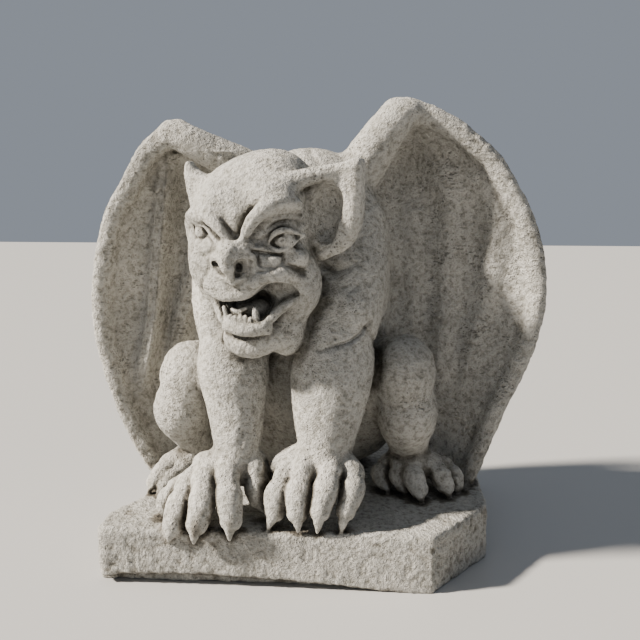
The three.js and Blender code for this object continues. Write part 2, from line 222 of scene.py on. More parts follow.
def joined(shapes, blend):
    """Several shapes run into each other as one."""
    low = np.min([s[0] for s in shapes], axis=0)
    high = np.max([s[1] for s in shapes], axis=0)

    def distance(grid, margin):
        made = np.full([axis.size for axis in grid], FAR, np.float32)
        for near, far, one in shapes:
            reach = margin + blend
            spans, inner = part_of(grid, near - reach, far + reach)
            made[spans] = soft_min(made[spans], one(inner, reach), blend)
        return made

    return low, high, distance


def outline_distance(across, up, corners):
    """Distance to a closed outline in a plane, below 0 inside it."""
    a = np.asarray(corners, float)
    b = np.roll(a, -1, axis=0)
    best = np.full(np.broadcast(across, up).shape, 1e9)
    inside = np.zeros(best.shape, bool)
    for (ax, ay), (bx, by) in zip(a, b):
        dx, dy = bx - ax, by - ay
        t = np.clip(((across - ax) * dx + (up - ay) * dy) / max(dx * dx + dy * dy, 1e-9), 0, 1)
        best = np.minimum(best, (across - ax - t * dx) ** 2 + (up - ay - t * dy) ** 2)
        if dy:
            crosses = ((ay > up) != (by > up)) & (across < dx * (up - ay) / dy + ax)
            inside ^= crosses
    return np.where(inside, -1, 1) * np.sqrt(best)


def line_distance(across, up, line):
    """Distance to an open line in a plane, and the share of its length that is nearest."""
    best = np.full(np.broadcast(across, up).shape, 1e9)
    share = np.zeros(best.shape)
    for i, ((ax, ay), (bx, by)) in enumerate(zip(line, line[1:])):
        dx, dy = bx - ax, by - ay
        t = np.clip(((across - ax) * dx + (up - ay) * dy) / max(dx * dx + dy * dy, 1e-9), 0, 1)
        away = (across - ax - t * dx) ** 2 + (up - ay - t * dy) ** 2
        share = np.where(away < best, (i + t) / (len(line) - 1), share)
        best = np.minimum(best, away)
    return np.sqrt(best), share


def rounded(away, rim, radius):
    """Distance to the edge, of that radius, between two faces whose distances are given."""
    over = np.sqrt(np.maximum(away, 0) ** 2 + np.maximum(rim, 0) ** 2)
    return over + np.minimum(np.maximum(away, rim), 0) - radius


class Clay:
    """A block of distances to the surface, in mm, that shapes are added to and cut from."""

    def __init__(self, spans):
        self.axes = []
        for axis in spans:
            steps = [np.arange(start, end, step) for start, end, step in axis]
            self.axes.append(np.concatenate(steps + [[axis[-1][1]]]).astype(np.float32))
        self.field = np.full([len(a) for a in self.axes], FAR, np.float32)
        self.grid = [
            a.reshape([-1 if i == k else 1 for k in range(3)])
            for i, a in enumerate(self.axes)
        ]

    def add(self, shape, blend, side=1):
        """Joins the shape to the clay, or cuts it away where the side is -1."""
        low, high, distance = shape
        reach = max(blend + SPARE, LEAST_REACH)
        spans, grid = part_of(self.grid, low - reach, high + reach)
        kept = side * self.field[spans]
        self.field[spans] = side * soft_min(kept, distance(grid, reach), blend)

    def cut(self, shape, blend):
        self.add(shape, blend, -1)

    def score(self, points, width, depth, head=True, back=60.0):
        """Presses a line into whatever faces the viewer along it: from the front of the line
        as far as back mm behind. A depth below 0 raises it. Width and depth may be lists."""
        widths, depths = (
            list(v) if isinstance(v, (list, tuple)) else [v] * len(points) for v in (width, depth)
        )
        line = curve([[*p, w, d] for p, w, d in zip(points, widths, depths)], 5)
        places = of_head(line[:, :3]) if head else line[:, :3]
        size = PRESS_SPREAD * max(widths)
        low, high = places.min(0) - size, places.max(0) + size
        low[1] -= PRESS_AHEAD
        high[1] += back
        spans, (x, y, z) = part_of(self.grid, low, high)
        if head:
            across, _, up = in_head((x, y, z))
        else:
            across, up = x + 0 * y + 0 * z, z + 0 * x + 0 * y
        away, share = line_distance(across, up, line[:, [0, 2]])
        at = np.linspace(0, 1, len(line))
        wide, deep = (np.interp(share, at, line[:, i]) for i in (3, 4))
        self.field[spans] += (deep * np.exp(-((away / wide) ** 2))).astype(np.float32)

    def at(self, points):
        """The distance at each of the points, between the corners of the grid."""
        cells, shares = [], []
        for i, axis in enumerate(self.axes):
            cell = np.clip(np.searchsorted(axis, points[:, i]) - 1, 0, len(axis) - 2)
            cells.append(cell)
            shares.append(np.clip((points[:, i] - axis[cell]) / (axis[cell + 1] - axis[cell]), 0, 1))
        total = np.zeros(len(points))
        for ends in np.ndindex(2, 2, 2):
            weights = [share if end else 1 - share for share, end in zip(shares, ends)]
            corner = tuple(cell + end for cell, end in zip(cells, ends))
            total += np.prod(weights, axis=0) * self.field[corner]
        return total

    def surface(self):
        """Corners in mm and faces of the clay's surface."""
        grid = openvdb.FloatGrid(BAND)
        grid.copyFromArray(np.clip(self.field, -BAND, BAND))
        points, triangles, quads = grid.convertToPolygons(isovalue=0, adaptivity=0)
        places = [
            np.interp(points[:, i], np.arange(len(a)), a) for i, a in enumerate(self.axes)
        ]
        return np.stack(places, 1), triangles, quads


def torso():
    """The trunk, its shoulder blades and its spine."""
    return forms([
        ([[0, 60, 112], [3, 46, 195], [4, 24, 288], [4, 14, 343]], [74, 84, 84, 69], 1),
        ([0, 4, 185], [58, 50, 80], 12),
        ([[-6, -2, 335], [-30, -46, 318]], [60, 44], 14),
        ([-18, -44, 246], [56, 33, 37], 12),
        # Shoulder blades and the ridge of the spine between them
        ([44, 50, 330], [34, 40, 54], 12),
        ([-44, 50, 330], [34, 40, 54], 12),
        ([[4, 80, 395], [4, 118, 330], [3, 132, 250], [1, 134, 170], [0, 122, 90]], [10, 9, 8, 8, 8], 14),
    ])


def arms():
    """Both arms down to the wrists, the right one first."""
    return forms([
        ([
            [46, -2, 330], [47, -36, 276], [36, -60, 226], [31, -72, 192], [28.5, -79, 166],
            [27, -87, 140], [26, -95, 118],
        ], [38, 38, 37, 40, 36, 29.5, 23.5], 12),
        ([
            [-60, -2, 330], [-72, -36, 274], [-66, -62, 226], [-65, -72, 195], [-63, -77, 168],
            [-61, -86, 140], [-60, -94, 118],
        ], [40, 40, 34, 34.5, 30, 25, 21.5], 12),
        # The upper arm over the elbow, and the forearm's muscle below it
        ([46, -56, 256], [27, 33, 29], (0, -18, 10), 6),
        ([46, -66, 206], [24, 30, 34], 8),
        ([-78, -60, 256], [24, 32, 34], 8),
        ([-76, -72, 204], [22, 28, 34], 8),
    ])


def legs():
    """The crouched legs, the right one first."""
    return forms([
        ([[48, 50, 118], [80, 0, 170], [102, -38, 192]], [52, 44, 30], 12),
        ([104, -40, 186], [30, 34, 41], 8),
        ([107, -36, 146], [31, 35, 40], 6),
        ([[108, -30, 126], [110, -16, 104], [112, -14, 88]], [25, 21, 19], 6),
        ([[-46, 50, 118], [-90, 0, 166], [-112, -36, 184]], [52, 44, 30], 12),
        ([-117, -38, 178], [30, 34, 38], 8),
        ([-125, -34, 146], [31, 35, 36], 6),
        ([[-122, -28, 124], [-117, -16, 104], [-118, -16, 88]], [23, 19, 17], 6),
    ])


def digit(root, points, radius):
    """A finger or toe with a knuckle, a swollen pad over the nail and a hooked claw."""
    root, (knuckle, bend, pad, tip) = np.array(root, float), np.array(points, float)
    middle = (knuckle + bend) / 2
    finger = limb(
        [root, knuckle, middle, bend, pad],
        [radius * share for share in DIGIT_SHARES],
        4,
    )
    out = (tip - pad) / max(np.linalg.norm(tip - pad), 1e-6)
    start = pad - out * radius * 0.2 + np.array([0, -0.22 * radius, 0.1 * radius])
    bow = (start + tip) / 2 + np.array([0, -1.2, 0.8])
    nail = limb([start, bow, tip], [radius * 0.6, radius * 0.44, 1.3], 4)
    return joined([finger, nail], 1.2)


RIGHT_HAND = [
    ([[2, -98, 117], [-9, -112, 106], [-18, -124, 88], [-19, -130, 74], [-25, -136, 58]], 11.2),
    ([[10, -100, 119], [6, -114, 110], [3, -129, 92], [3, -136, 76], [4, -140, 59]], 12.0),
    ([[28, -100, 119], [32, -114, 111], [29, -129, 96], [24, -137, 79], [22, -141, 59]], 12.0),
    ([[41, -98, 118], [53, -108, 107], [54, -121, 94], [48, -130, 77], [44, -136, 58]], 11.4),
]
LEFT_HAND = [
    ([[-90, -92, 98], [-116, -104, 86], [-126, -110, 76], [-129, -112, 67], [-131, -115, 57]], 10.0),
    ([[-88, -96, 102], [-104, -112, 93], [-111, -130, 76], [-115, -137, 61], [-119, -142, 46]], 12.0),
    ([[-80, -98, 107], [-88, -116, 100], [-87, -134, 84], [-91, -143, 65], [-94, -147, 47]], 12.4),
    ([[-64, -98, 112], [-66, -116, 105], [-62, -133, 87], [-59, -141, 69], [-60, -146, 52]], 12.4),
    ([[-47, -93, 116], [-42, -104, 108], [-40, -112, 90], [-37, -113, 78], [-31, -111, 64]], 10.2),
]
RIGHT_FOOT = [
    ([[100, -12, 90], [88, -18, 84], [80, -27, 75], [85, -32, 66], [90, -38, 55]], 9.0),
    ([[106, -14, 92], [101, -28, 87], [100, -35, 76], [105, -38, 67], [107, -42, 57]], 10.0),
    ([[113, -16, 92], [114, -30, 90], [115, -45, 78], [120, -54, 69], [123, -62, 57]], 11.0),
    ([[120, -14, 92], [133, -24, 87], [143, -37, 77], [148, -42, 69], [152, -46, 57]], 10.5),
    ([[124, -10, 90], [146, -16, 82], [157, -24, 73], [160, -28, 65], [161, -32, 55]], 10.0),
]
LEFT_FOOT = [
    ([[-118, -12, 88], [-134, -24, 84], [-148, -40, 77], [-156, -48, 68], [-161, -55, 57]], 9.5),
    ([[-114, -16, 88], [-128, -32, 80], [-140, -44, 71], [-146, -51, 65], [-150, -58, 57]], 9.0),
    ([[-122, -8, 90], [-132, -14, 88], [-146, -30, 80], [-149, -38, 72], [-149, -46, 62]], 8.5),
]


def hands():
    """Palms with their fingers, and the thumbs between the hands."""
    made = []
    for fingers, palm, half, lean in (
        (RIGHT_HAND, [22, -102, 107], [32, 19, 15], -4),
        (LEFT_HAND, [-70, -100, 105], [34, 19, 15], 10),
    ):
        digits = [digit(p[0], p[1:], radius) for p, radius in fingers]
        made.append((lump(palm, half, (0, lean, 28)), 8))
        made.append((joined(digits, 1.2), 3.5))
    thumb = limb([[-2, -92, 117], [-14, -98, 112], [-21, -100, 107]], [11, 10, 6.5])
    inner = limb(
        [[-40, -92, 111], [-34, -99, 99], [-31, -107, 86], [-28, -111, 74], [-25, -113, 63]],
        [9, 8, 6.6, 4.4, 1.4],
    )
    return made + [(thumb, 5), (inner, 3)]


def feet():
    """Insteps with their toes."""
    made = [
        (lump([118, -18, 84], [34, 20, 15], (-16, 0, 10)), 8),
        (lump([-130, -20, 80], [26, 18, 13], (20, 0, 8)), 8),
    ]
    for toes in (RIGHT_FOOT, LEFT_FOOT):
        made.append((joined([digit(p[0], p[1:], radius) for p, radius in toes], 1.2), 3.5))
    return made


RIGHT_WING = {
    "outer": [
        (100, 459), (118, 455), (136, 447), (157, 436), (177, 420), (198, 400), (214, 375), (231, 344),
        (243, 308), (248, 272), (247, 245), (239, 207), (226, 174), (213, 146), (201, 115), (189, 84),
        (181, 64), (171, 50),
    ],
    "inner": [
        (98, 458), (84, 448), (68, 420), (53, 402), (46, 380), (52, 330), (58, 290), (64, 230), (76, 180),
        (90, 140), (102, 100), (116, 50),
    ],
    "ridges": [
        ([(129, 410), (150, 363), (153, 304), (149, 222), (148, 132)], 9, 13),
        ([(170, 400), (198, 356), (200, 305), (192, 252), (178, 195), (170, 139)], 7, 12),
        ([(106, 380), (112, 320), (114, 262), (116, 210)], 4, 9),
    ],
    "front": [2, 4, 4, -2, -8],
    "arm": [[38, 22, 364], [56, 14, 390], [76, 6, 420], [91, 2, 439], [103, 2, 447]],
    "arm_radii": [27, 24, 21, 18, 13],
}
LEFT_WING = {
    "outer": [
        (-143, 438), (-161, 425), (-174, 410), (-188, 387), (-199, 368), (-211, 345), (-220, 315),
        (-227, 283), (-230, 250), (-228, 212), (-221, 181), (-212, 150), (-200, 118), (-187, 90),
        (-173, 68), (-162, 54),
    ],
    "inner": [
        (-142, 437), (-128, 433), (-110, 422), (-84, 410), (-64, 404), (-56, 380), (-64, 330), (-66, 290),
        (-74, 230), (-88, 180), (-100, 140), (-110, 100), (-122, 50),
    ],
    "ridges": [
        ([
            (-147, 410), (-153, 378), (-157, 348), (-164, 292), (-170, 232), (-177, 191), (-184, 147),
        ], 15, 9),
        ([
            (-126, 389), (-122, 357), (-121, 313), (-124, 280), (-132, 259), (-145, 202), (-155, 172),
        ], 12, 10),
    ],
    "front": [4, 4, 4, -2, -8],
    "arm": [[-48, 22, 376], [-70, 16, 394], [-100, 9, 409], [-124, 5, 421], [-140, 4, 426]],
    "arm_radii": [25, 20, 17, 15, 11],
}


def wing(plan):
    """A cupped skin between its two edges, with raised bones, and a rolled rim."""
    outer, inner = curve(plan["outer"], 4), curve(plan["inner"], 4)
    edge = np.vstack([outer, inner[::-1]])
    low = np.array([edge[:, 0].min() - 4, -30, edge[:, 1].min() - 4])
    high = np.array([edge[:, 0].max() + 4, 96, edge[:, 1].max() + 4])
    top, foot = outer[0][1], outer[-1][1]
    fronts = np.linspace(0, 1, len(plan["front"]))

    def middle(x, z):
        """How far back the middle of the skin lies, open below the bend and closed at it."""
        share = np.clip((top - z) / (top - foot), 0, 1)
        near = np.interp(-z, -inner[:, 1], inner[:, 0])
        far = np.interp(-z, -outer[:, 1], outer[:, 0])
        u = np.clip((x - near) / np.where(far == near, 1, far - near), 0, 1)
        opened = np.clip(share / 0.16, 0, 1)
        opened = opened * opened * (3 - 2 * opened)
        cup = WING_CUP * (1 - np.abs(2 * u - 1) ** 1.7) * (1 - 0.5 * share)
        hood = WING_HOOD * np.exp(-(((u - 0.3) / 0.22) ** 2) - ((share - 0.17) / 0.12) ** 2)
        place = np.interp(share, fronts, plan["front"]) + 8 + (1 - u) * WING_LEAN * opened
        place = place + cup * opened + hood * np.clip(share / 0.06, 0, 1)
        for line, height, width in plan["ridges"]:
            away, along = line_distance(x, z, curve(line, 5))
            fade = np.clip(4 * along + 0.2, 0, 1) * np.clip(5 * (1 - along) + 0.3, 0, 1)
            place = place - height * np.exp(-((away / width) ** 2)) * fade
        return place

    def distance(grid, margin):
        x, y, z = grid
        flat_x, flat_z = x[:, 0, :], z[0, :, :]
        layer = middle(flat_x, flat_z)
        slope_x = np.gradient(layer, flat_x.ravel(), axis=0)
        slope_z = np.gradient(layer, flat_z.ravel(), axis=1)
        steep = np.sqrt(1 + slope_x**2 + slope_z**2)[:, None, :]
        away = np.abs(y - layer[:, None, :]) / steep - (WING_HALF - WING_ROUND)
        rim = outline_distance(flat_x, flat_z, edge)[:, None, :] + WING_ROUND
        return rounded(away, rim, WING_ROUND).astype(np.float32)

    # The rim's round bar lies inside the outline, and thins from the bend to the foot
    rim_line = []
    for i, (x, z) in enumerate(plan["outer"]):
        share = i / (len(plan["outer"]) - 1)
        front = np.interp(share, fronts, plan["front"])
        inward = 9.5 - 3.5 * share
        under = 9 if i < 2 else 4 if i < 5 else 0
        rim_line.append([x - math.copysign(inward, x), front + 7, z - under])
    radii = np.linspace(10.5, 7, len(rim_line))
    return [
        ((low, high, distance), 8),
        (limb(rim_line, radii, 3), 9),
        (limb(plan["arm"], plan["arm_radii"]), 9),
    ]


def skull():
    """The head's main lumps, with the muzzle and the chin."""
    return forms([
        ([-4, 8, 22], [61, 60, 61], 8),
        ([14, 12, 50], [38, 42, 37], 12),
        ([-42, -12, 12], [25, 26, 30], 12),
        ([-2, -18, -16], [52, 44, 56], 14),
        ([-36, -30, -14], [23, 20, 26], 12),
        # Jowl and the corner of the jaw on the viewer's right, and the smaller left one
        ([43, -12, -36], [20, 27, 31], 12),
        ([29, -20, -74], [18, 22, 30], 14),
        ([-38, -8, -44], [18, 22, 26], 12),
        # Forehead over each brow
        ([24, -26, 44], [27, 26, 22], 10),
        ([-22, -30, 40], [26, 26, 20], 10),
        ([-2, -40, 30], [14, 19, 16], 10),
        # Muzzle and chin
        ([-7, -49, -27], [32, 18, 18], 8),
        ([22, -42, -22], [22, 18, 16], 10),
        ([2, -40, -80], [29, 18, 19], 12),
        ([2, -44, -89], [18, 14, 11], 8),
    ], head=True)


def features():
    """Brows, nose, cheeks and lips, added to the skull in this order."""
    return forms([
        # Right brow, a smooth fold that drops to the bridge of the nose, and its outer end
        ([
            [8, -59, 13], [12, -58.5, 22], [20, -56, 33], [30, -51, 41], [41, -42, 44], [51, -30, 40],
        ], [4.5, 6, 7, 8, 7.5, 5], 4),
        ([
            [-6, -60, 14], [-13, -58, 25], [-24, -54, 33], [-38, -46, 35], [-52, -32, 30], [-61, -16, 22],
        ], [4, 7, 8, 8, 7, 5], 6),
        ([[-33, -47, 24], [-26, -51, 18], [-19, -55, 11], [-13, -58, 5]], [3.4, 3.6, 3.6, 3], 3),
        # Bridge of the nose, whose top runs on as a thin fold under the right eye
        ([0, -55, 4], [17, 15, 10], 5),
        ([-7, -60, 2], [12, 10, 9], 4),
        ([
            [0, -64, 9.5], [12, -59.5, 8.5], [20, -53.5, 5], [28, -48, 1.5], [37, -43.5, -0.5],
            [46, -39, 1.5],
        ], [4, 3.4, 2.6, 2.4, 2.4, 2], 3),
        # Blunt nose with two flared wings and a narrow middle between the nostrils
        ([-2, -61, -3], [16, 13, 12], 5),
        ([[-1, -69, 6], [-3, -74, -1], [-2, -75, -9]], [6, 7, 5.5], 5),
        ([[-2, -75, -8], [-1, -72, -17], [0, -69, -24]], [4.6, 3.6, 3.4], 3),
        ([
            [2, -69, 3], [9, -66, 4], [16, -61, 0], [18.5, -58, -7.5], [17, -58, -14.5], [12, -61, -19.5],
            [6, -65, -21.5], [1, -68, -22],
        ], [3.4, 3.6, 3.8, 3.8, 3.8, 3.6, 3.2, 2.8], 2),
        ([
            [-7, -70, 1], [-14, -66, 1], [-20, -61, -4], [-22, -59, -11], [-18, -62, -17], [-11, -66, -20],
            [-4, -69, -21],
        ], [3.4, 4, 4.2, 4.2, 4, 3.4, 3], 3),
        # Pillow of flesh beside the nose, the cheekbone and the outer cheek
        ([29, -46, -5.5], [10.5, 9, 5], (14, 4, 0), 1.5),
        ([46, -30, -8], [13, 12, 9], 7),
        ([-34, -38, -6], [16, 15, 12], 8),
        # The right side of the upper lip, drawn up and round the corner of the mouth
        ([
            [6, -62, -30], [17, -61, -25], [29, -55, -19.5], [41, -45, -19], [50, -34, -26],
            [54, -27, -38], [51, -24, -52],
        ], [5, 5.5, 5, 4.6, 4.8, 5, 5], 3.5),
        ([
            [-36, -44, -32], [-27, -53, -36], [-15, -60, -38], [0, -62, -37], [10, -60, -33],
        ], [4, 4.5, 5, 5, 4], 5),
        # Lower lip, a low edge in front of the teeth
        ([
            [-26, -50, -50], [-17, -57, -60], [-6, -61, -65], [6, -62, -67], [17, -59, -67],
            [26, -53, -61], [35, -46, -53], [45, -37, -47],
        ], [3.5, 4.5, 4.8, 5, 5, 4.6, 4.4, 4], 5),
        ([[-14, -56, -68], [4, -58, -72], [22, -53, -70]], [6, 7, 6], 6),
    ], head=True)


MOUTH = [
    (-25, -41), (-16, -44.5), (-6, -43.5), (7, -42), (15, -37), (20, -31.5), (25, -28), (34, -26),
    (42, -28.5), (48, -36),
    (50, -41), (44, -43.5), (36, -47), (29, -52), (24, -58), (17, -62.5), (4, -62.5), (-5, -59),
    (-12, -54), (-17, -48), (-22, -43.5),
]


def mouth(corners, back):
    """An opening of that outline, cut from the front of the face as far as the back."""
    edge = curve([*corners, corners[0]], 4)[:-1]
    box = of_head([[x, y, z] for x, z in edge for y in (-90, back)])

    def distance(grid, margin):
        across, behind, up = in_head(grid)
        return np.maximum(outline_distance(across, up, edge), behind - back).astype(np.float32)

    return box.min(0), box.max(0), distance


def hollows():
    """What is cut from the face: the mouth, the nostrils and the eye sockets."""
    return [(mouth(MOUTH, -30), 2)] + forms([
        ([4, -36, -50], [24, 20, 13], (-8, 0, 0), 2),
        # Nostrils, a round one and a slit
        ([8.5, -69, -9], [6.2, 8, 7], (24, 0, 0), 1.2),
        ([5.5, -66, -11], [3.6, 11, 4.4], (24, 0, 0), 1),
        ([
            [-20, -61, -7], [-15.5, -65, -9.5], [-11, -67, -12], [-8, -66, -14.5],
        ], [2.6, 4.2, 4.6, 2.8], 1.2),
        # Eye sockets, deepest beside the nose
        ([39, -50, 11], [14, 11, 9.5], (18, -8, 0), 3),
        ([25, -55, 11], [8, 8, 4.4], (0, -14, 0), 3),
        ([-39, -51, 17.5], [10.5, 9, 8.5], (-20, 0, 0), 3),
    ], head=True)


def eyes_and_teeth():
    """What fills the hollows again: eyeballs with their lids, the tongue and the teeth."""
    made = forms([
        ([39.5, -37, 10], [10.5, 10, 9], (18, 0, 0), 0.8),
        ([-39, -39, 17.5], [8.5, 8.5, 7.5], (-18, 0, 0), 0.8),
        # Upper and lower lids
        ([
            [27, -46, 7], [30.5, -47.2, 13], [35, -47, 17.2], [41, -45.4, 19.4], [48, -40.5, 17.8],
            [55, -31.5, 13],
        ], [1.2, 1.9, 2.5, 2.6, 2.4, 1.6], 1.5),
        ([
            [27, -46, 7], [32, -46.6, 3.4], [38, -45.8, 1.6], [45, -42.6, 3.2], [50, -37, 7.6],
            [56, -30, 13.4],
        ], [1, 1.3, 1.5, 1.5, 1.3, 1], 1.8),
        ([
            [-48, -37, 19], [-44.5, -41, 24], [-38, -45, 25], [-32, -48, 22], [-28, -50, 17],
        ], [1.4, 1.9, 2.1, 1.9, 1.4], 1.5),
        ([[-47, -38, 14], [-42, -42, 10], [-36, -45, 9.6], [-30, -49, 12.5]], [1.2, 1.4, 1.4, 1.2], 1.5),
        # The tongue with its thick tip
        ([[6, -22, -60], [3, -42, -58], [-1, -52, -53.5]], [11, 9, 5.5], 2),
        ([[-8, -56, -51.5], [-2, -57.5, -53], [5, -56, -50.5]], [2.2, 2.6, 2], 1.2),
    ], head=True)
    front_teeth = ((-9.5, -58.5, 2.6), (-4.5, -59, 2.6), (0.5, -56.5, 2.4), (5, -58.5, 2.4), (10, -60, 2.4))
    for x, top, size in front_teeth:
        made.append((limb([[x, -58, -64], [x, -58.6, top]], [3, size], head=True), 0.8))
    for x, tip in ((15.5, -50), (-14.5, -49.5)):
        made.append((
            limb([[x, -56, -62], [x, -58, -56], [x - 1, -58.5, tip]], [3.6, 3.2, 1.8], head=True),
            1,
        ))
    return made


def scores():
    """Lines pressed into the face: points, width and depth."""
    turns = np.linspace(0, 2 * math.pi, 13)
    ring = [[40 + 4.6 * math.cos(t), -46, 10.4 + 4.6 * math.sin(t)] for t in turns]
    return [
        # Frown between the brows, over the bridge of the nose
        ([
            [-9, -58, 30], [-5, -60, 22], [0, -61, 16.5], [5, -60, 20], [8, -58, 28],
        ], 3.4, [1.0, 2.4, 2.9, 2.4, 1.0]),
        ([[4, -60, 17], [7, -59, 26], [13, -56, 36], [20, -52, 44]], 1.8, [2.2, 2.4, 2.0, 0.8]),
        ([[-18, -56, 36], [-10, -58, 30], [-6, -60, 22]], 2.0, [0.6, 1.4, 1.2]),
        ([[10, -60, 17], [13, -59, 25], [17, -57, 31]], 1.0, 1.0),
        ([[-36, -46, 20.5], [-28, -50, 14.5], [-21, -54, 8], [-16, -57, 2]], 1.8, [1.4, 2.2, 2.4, 1.6]),
        ([[-31, -48, 28], [-23, -54, 21], [-15, -58, 14]], 1.7, 1.9),
        # Under the right eye, beside the nose
        ([
            [10, -60, 3.5], [18, -56, 1.8], [26, -51, -0.4], [34, -46, -2.2], [39, -42, -2.6],
        ], [1.8, 1.8, 1.6, 1.5, 1.2], [1.2, 2.0, 2.2, 2.0, 1.0]),
        ([
            [19.5, -54, 0], [20.5, -54, -6], [23, -53, -11], [29, -48, -12], [37, -43, -12.5],
            [40, -42, -7],
        ], 1.3, [1.6, 1.9, 1.9, 1.8, 1.6, 1.0]),
        ([[21, -56, -15.5], [28, -50, -15.2], [36, -44, -14.5]], 1.1, [1.4, 1.4, 0.8]),
        ([
            [41, -42, -12], [47, -36, -15], [52, -29, -21], [55, -23, -31],
        ], [1.8, 2.2, 2.4, 2.0], [1.0, 1.8, 2.0, 1.0]),
        ([[24, -55, -22.5], [31, -50, -21.5]], 1.1, 1.0),
        # Beside the nose and the muzzle on the left
        ([[-23, -58, 2], [-29, -52, -1], [-38, -46, -3]], 2.0, 1.6),
        ([[-26, -56, -10], [-30, -54, -18], [-36, -49, -26], [-41, -44, -34]], 2.4, [1.0, 1.8, 2.0, 1.6]),
        # Crease from the left corner of the mouth
        ([
            [-37, -46, -35], [-30, -52, -40], [-24, -55, -44], [-19, -57, -50], [-16, -58, -60],
            [-15, -58, -66],
        ], 1.6, [1.4, 2.2, 2.4, 2.2, 1.8, 0.8]),
        # Folds over the right eye
        ([[26, -50, 19], [33, -48, 25], [42, -42, 26.5], [52, -32, 22]], 1.5, [1.0, 1.7, 1.8, 1.0]),
        ([[34, -47, 31], [43, -41, 32.5], [51, -33, 29]], 1.4, 1.2),
        ([[38, -44, 37], [47, -38, 38], [54, -30, 34]], 1.2, 0.7),
        # Under the lower lip, with its deepest dent on the left
        ([
            [-17, -57, -75], [-8, -59, -77], [2, -59, -77.5], [14, -56, -77], [27, -50, -77],
        ], [2.4, 3.0, 2.8, 2.2, 1.8], [2.6, 4.4, 3.2, 2.0, 0.8]),
        ([[-20, -54, -66], [-24, -52, -76], [-27, -48, -88]], 2.2, 1.6),
        # The right iris as a ring and its pupil, then the left iris's edge and its pupil
        (ring, 0.8, 0.9),
        ([[40, -46, 10.5], [40, -46, 10.4]], 1.5, 2.6),
        ([[-47, -40, 22], [-47.5, -39, 17], [-45, -40, 12]], 1.4, 2.0),
        ([[-40, -46, 18], [-40, -46, 17.9]], 1.4, 1.6),
    ]


def body_scores():
    """Lines pressed into the body, as seen from the front."""
    return [
        # The crease of the right elbow, then the fold between that arm and the knee
        (
            [
                [20, -92, 223], [32, -100, 227], [45, -98, 230], [55, -90, 234], [63, -75, 242],
                [68, -60, 248],
            ],
            [1.8, 2.2, 2.4, 2.4, 2.2, 1.8],
            [2.0, 3.2, 3.6, 3.8, 3.2, 1.6],
        ),
        ([[63, -75, 242], [70, -62, 232], [72, -60, 220]], 1.8, 1.8),
        ([[49, -62, 276], [52, -62, 279], [56, -58, 281]], 1.8, 2.0),
        # Under the ear and behind the jaw
        ([
            [12, -60, 304], [23, -44, 299], [33, -40, 294], [42, -34, 296], [54, -30, 302],
        ], [4, 5, 5, 4, 3], [4, 7, 7, 4, 1.5]),
        # Sinews on the arms and hands
        ([[10, -92, 150], [14, -98, 130]], 2.2, 1.0),
        ([[40, -96, 150], [38, -100, 130]], 2.2, 1.0),
        ([[-50, -98, 150], [-54, -102, 132]], 2.2, 1.0),
        ([[-74, -98, 150], [-72, -102, 130]], 2.2, 0.8),
        # The spine's dent over the hump of the back
        ([[6, -10, 408], [10, -10, 402], [16, -10, 396]], 2.4, 2.0),
    ]


def ear(corners, layer, half, round_off):
    """A leaf of an ear in the head's frame, with a round edge. The layer gives its middle's y."""
    edge = curve([*corners, corners[0]], 6)[:-1]
    box = of_head([[x, y, z] for x, z in edge for y in (-34, 40)])

    def distance(grid, margin):
        across, behind, up = in_head(grid)
        rim = outline_distance(across, up, edge) + round_off
        away = np.abs(behind - layer(across, up)) - (half - round_off)
        return rounded(away, rim, round_off).astype(np.float32)

    return box.min(0), box.max(0), distance


def ears():
    """Both ears, the right one with its thick upper edge."""
    right = [
        (38, 60), (58, 65), (80, 70), (102, 77), (104, 62), (103, 40), (99, 14), (88, -4), (70, -13),
        (56, -14), (46, 8), (40, 36),
    ]
    left = [
        (-34, 60), (-47, 64), (-62, 71), (-71, 79), (-76, 70), (-75, 56), (-72, 37), (-66, 20), (-50, 14),
        (-36, 30),
    ]
    return [
        (ear(right, lambda x, z: 6 - 0.06 * (x - 60), 13, 8), 4),
        (limb([[34, -24, 56], [52, -14, 62], [76, -6, 67], [99, -1, 74]], [10, 8.5, 6.5, 4], head=True), 5),
        (ear(left, lambda x, z: 2 - 0.35 * (x + 55), 11, 9), 8),
    ]


def ear_hollows():
    """The right ear's cup."""
    return forms([
        ([71, -9, 34], [15, 20, 23], (0, 14, 0), 4),
        ([68, -6, 16], [11, 15, 15], (0, 0, 0), 4),
    ], head=True)


def plinth():
    """A thick slab with a long cut at the front on the viewer's right, another at the back on
    the left, and worn edges."""
    x, y = PLINTH_WIDTH / 2, PLINTH_DEPTH / 2
    small = PLAIN_CORNER
    corners = [
        (-x + small, -y), (x - CUT_CORNER[0], -y), (x, -y + CUT_CORNER[1]), (x, y - small),
        (x - small, y), (-x + BACK_CUT[0], y), (-x + BACK_CUT[0], -y + SIDE_LENGTH + BACK_CUT[1]),
        (-x, -y + SIDE_LENGTH), (-x, -y + small),
    ]
    low, high = np.array([-x, -y, 0.0]), np.array([x, y, PLINTH_HEIGHT])

    def distance(grid, margin):
        px, py, pz = grid
        side = outline_distance(px[:, :, 0], py[:, :, 0], corners)[:, :, None] + PLINTH_EDGE
        top = pz - PLINTH_HEIGHT + PLINTH_EDGE
        return np.maximum(rounded(top, side, PLINTH_EDGE), -pz).astype(np.float32)

    return low, high, distance


